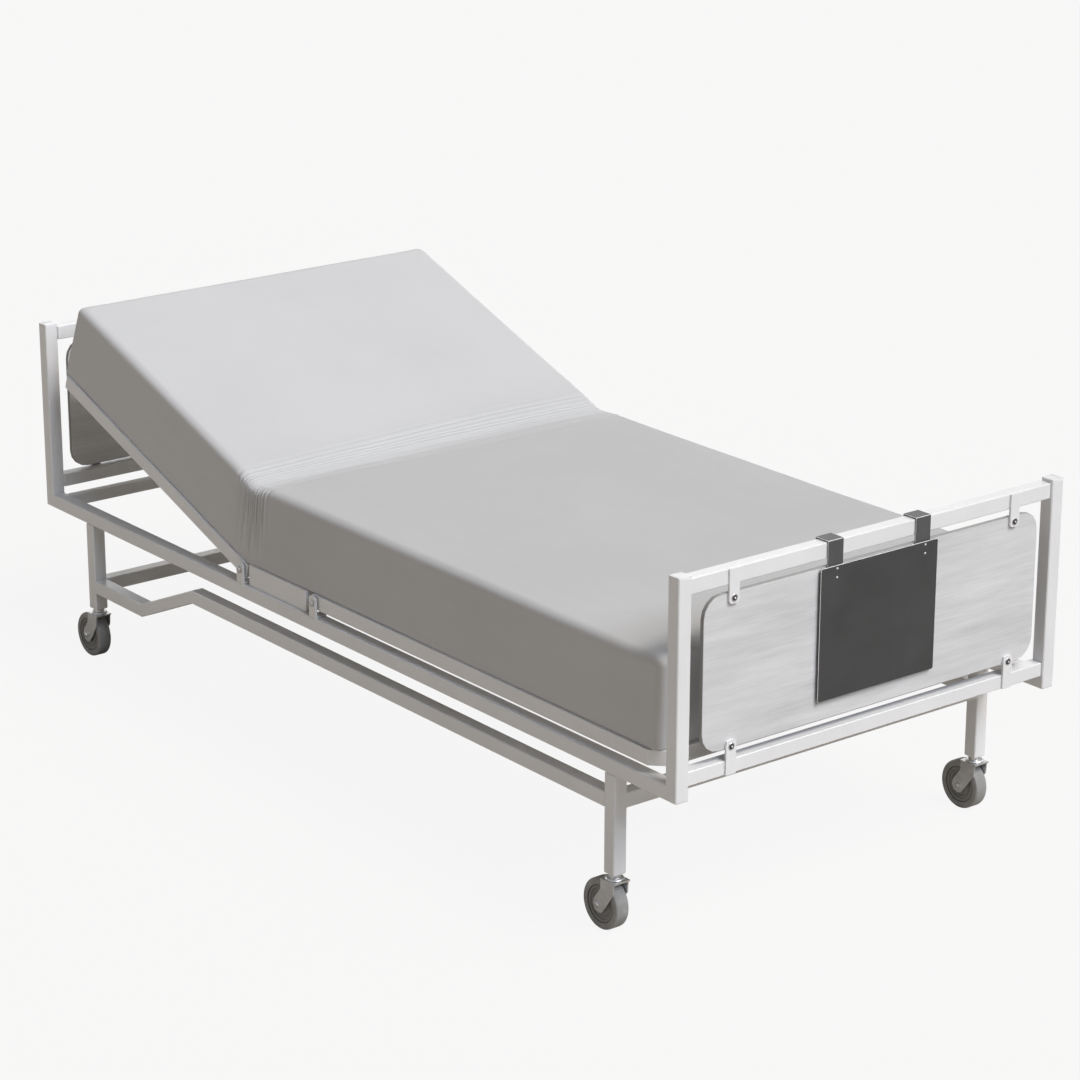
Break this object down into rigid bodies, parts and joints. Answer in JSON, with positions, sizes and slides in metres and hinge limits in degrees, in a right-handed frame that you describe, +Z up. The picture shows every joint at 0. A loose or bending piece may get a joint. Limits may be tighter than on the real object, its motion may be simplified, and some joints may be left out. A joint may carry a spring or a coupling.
{
  "type": "adjustable hospital bed",
  "caption": "Steel-framed hospital bed on swivel casters with a tilting backrest, a lifting leg section, laminate end panels and a chart board on the foot rail",
  "frame": {"origin": "on the floor, below the middle of the bed", "axes": "+X toward the foot end, +Z up, +Y to the side away from the viewer of the picture"},
  "size_m": [2.2081, 0.9736, 0.8068],
  "materials": {
    "white_paint": "satin powder coat",
    "laminate": "satin whitewashed laminate",
    "zinc": "zinc plated",
    "chrome_rod": "polished",
    "grey_plastic": "fine texture",
    "dark_board": "matte",
    "mattress": "smooth stretch cover over foam",
    "wheel_rubber": "grey tread"
  },
  "bodies": {
    "base": {"side_frame_near": "white_paint", "side_frame_far": "white_paint", "lower_rail_near": "white_paint", "lower_rail_far": "white_paint", "head_leg_frame": "white_paint", "foot_leg_frame": "white_paint", "head_cross_tube": "white_paint", "seat_beam": "white_paint", "seat_platform": "white_paint", "head_top_bar": "white_paint", "head_bottom_bar": "white_paint", "foot_top_bar": "white_paint", "foot_bottom_bar": "white_paint", "back_bracket_near": "white_paint", "back_bracket_far": "white_paint", "leg_bracket_near": "white_paint", "leg_bracket_far": "white_paint", "backrest_mount": "white_paint", "leg_mount": "white_paint", "head_panel": "laminate", "foot_panel": "laminate", "back_bolt_near": "zinc", "back_bolt_far": "zinc", "leg_bolt_near": "zinc", "leg_bolt_far": "zinc", "screw_head_top_near": "zinc", "screw_head_top_far": "zinc", "screw_head_bottom_near": "zinc", "screw_head_bottom_far": "zinc", "screw_foot_top_near": "zinc", "screw_foot_top_far": "zinc", "screw_foot_bottom_near": "zinc", "screw_foot_bottom_far": "zinc", "control_box": "grey_plastic", "mattress_seat": "mattress"},
    "backrest": {"backrest_frame": "white_paint", "backrest_deck": "white_paint", "backrest_lever": "white_paint", "mattress_back": "mattress"},
    "leg_section": {"leg_frame": "white_paint", "leg_deck": "white_paint", "leg_lever": "white_paint", "mattress_leg": "mattress"},
    "backrest_motor": {"backrest_actuator_tube": "grey_plastic"},
    "backrest_ram": {"backrest_actuator_rod": "chrome_rod"},
    "leg_motor": {"leg_actuator_tube": "grey_plastic"},
    "leg_ram": {"leg_actuator_rod": "chrome_rod"},
    "chart": {"chart_board": "dark_board", "chart_hook_near": "dark_board", "chart_hook_far": "dark_board"},
    "caster_head_near": {"caster_fork_head_near": "zinc"},
    "wheel_head_near": {"caster_wheel_head_near": "wheel_rubber"},
    "caster_head_far": {"caster_fork_head_far": "zinc"},
    "wheel_head_far": {"caster_wheel_head_far": "wheel_rubber"},
    "caster_foot_near": {"caster_fork_foot_near": "zinc"},
    "wheel_foot_near": {"caster_wheel_foot_near": "wheel_rubber"},
    "caster_foot_far": {"caster_fork_foot_far": "zinc"},
    "wheel_foot_far": {"caster_wheel_foot_far": "wheel_rubber"}
  },
  "joints": [
    {"name": "backrest_tilt", "type": "hinge", "parent": "base", "child": "backrest", "pos_m": [-0.3035, 0, 0.3785], "axis": [0, 1, 0], "range_deg": [-17.24, 50.56]},
    {"name": "leg_section_tilt", "type": "hinge", "parent": "base", "child": "leg_section", "pos_m": [-0.0365, 0, 0.3785], "axis": [0, -1, 0], "range_deg": [0, 25]},
    {"name": "backrest_motor_tilt", "type": "hinge", "parent": "base", "child": "backrest_motor", "pos_m": [-0.15029, -0.06, 0.24994], "axis": [0, 1, 0], "range_deg": [-9, 26]},
    {"name": "backrest_ram_tilt", "type": "hinge", "parent": "backrest", "child": "backrest_ram", "pos_m": [-0.46162, -0.06, 0.25603], "axis": [0, 1, 0], "range_deg": [-26, 9]},
    {"name": "leg_motor_tilt", "type": "hinge", "parent": "base", "child": "leg_motor", "pos_m": [-0.18971, 0.06, 0.24994], "axis": [0, -1, 0], "range_deg": [-1, 13]},
    {"name": "leg_ram_tilt", "type": "hinge", "parent": "leg_section", "child": "leg_ram", "pos_m": [0.07822, 0.06, 0.21467], "axis": [0, -1, 0], "range_deg": [-13, 1]},
    {"name": "swivel_head_near", "type": "hinge", "parent": "base", "child": "caster_head_near", "pos_m": [-0.916, -0.465, 0.11], "axis": [0, 0, 1], "continuous": true},
    {"name": "roll_head_near", "type": "hinge", "parent": "caster_head_near", "child": "wheel_head_near", "pos_m": [-0.941, -0.465, 0.0503], "axis": [0, 1, 0], "continuous": true},
    {"name": "swivel_head_far", "type": "hinge", "parent": "base", "child": "caster_head_far", "pos_m": [-0.916, 0.465, 0.11], "axis": [0, 0, 1], "continuous": true},
    {"name": "roll_head_far", "type": "hinge", "parent": "caster_head_far", "child": "wheel_head_far", "pos_m": [-0.941, 0.465, 0.0503], "axis": [0, 1, 0], "continuous": true},
    {"name": "swivel_foot_near", "type": "hinge", "parent": "base", "child": "caster_foot_near", "pos_m": [0.916, -0.465, 0.11], "axis": [0, 0, 1], "continuous": true},
    {"name": "roll_foot_near", "type": "hinge", "parent": "caster_foot_near", "child": "wheel_foot_near", "pos_m": [0.891, -0.465, 0.0503], "axis": [0, 1, 0], "continuous": true},
    {"name": "swivel_foot_far", "type": "hinge", "parent": "base", "child": "caster_foot_far", "pos_m": [0.916, 0.465, 0.11], "axis": [0, 0, 1], "continuous": true},
    {"name": "roll_foot_far", "type": "hinge", "parent": "caster_foot_far", "child": "wheel_foot_far", "pos_m": [0.891, 0.465, 0.0503], "axis": [0, 1, 0], "continuous": true},
    {"name": "chart_lift", "type": "slide", "parent": "base", "child": "chart", "axis": [0, 0, 1], "range_m": [0, 0.3]}
  ],
  "couplings": [
    {"joint": "backrest_motor_tilt", "follows": "backrest_tilt", "ratio": 0.5},
    {"joint": "backrest_ram_tilt", "follows": "backrest_tilt", "ratio": -0.5},
    {"joint": "leg_motor_tilt", "follows": "leg_section_tilt", "ratio": 0.5},
    {"joint": "leg_ram_tilt", "follows": "leg_section_tilt", "ratio": -0.5}
  ]
}
